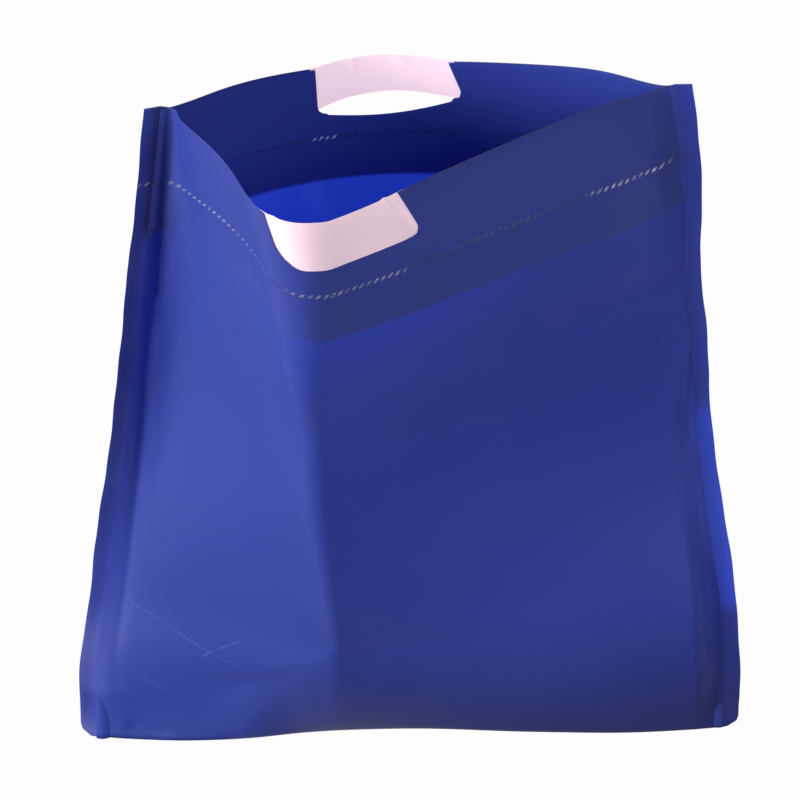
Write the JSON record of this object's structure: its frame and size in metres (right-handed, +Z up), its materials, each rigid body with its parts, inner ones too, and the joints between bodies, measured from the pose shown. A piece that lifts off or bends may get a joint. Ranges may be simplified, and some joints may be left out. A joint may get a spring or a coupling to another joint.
{
  "type": "plastic carrier bag",
  "caption": "Open plastic film carrier bag standing on its base, with a turned and welded hem, rounded handle notches and pink film handle strips across them",
  "frame": {"origin": "on the ground, under the middle of the bag's overall box", "axes": "+Z up out of the mouth, -Y towards the front panel, +X to the right seam seen from the front"},
  "size_m": [0.4012, 0.1788, 0.4429],
  "materials": {
    "blue_film": "satin film",
    "front_pink_film": "satin film",
    "back_pink_film": "satin film"
  },
  "bodies": {
    "root": {"bag_film": "blue_film", "front_handle_strip": "front_pink_film", "back_handle_strip": "back_pink_film"}
  },
  "joints": []
}
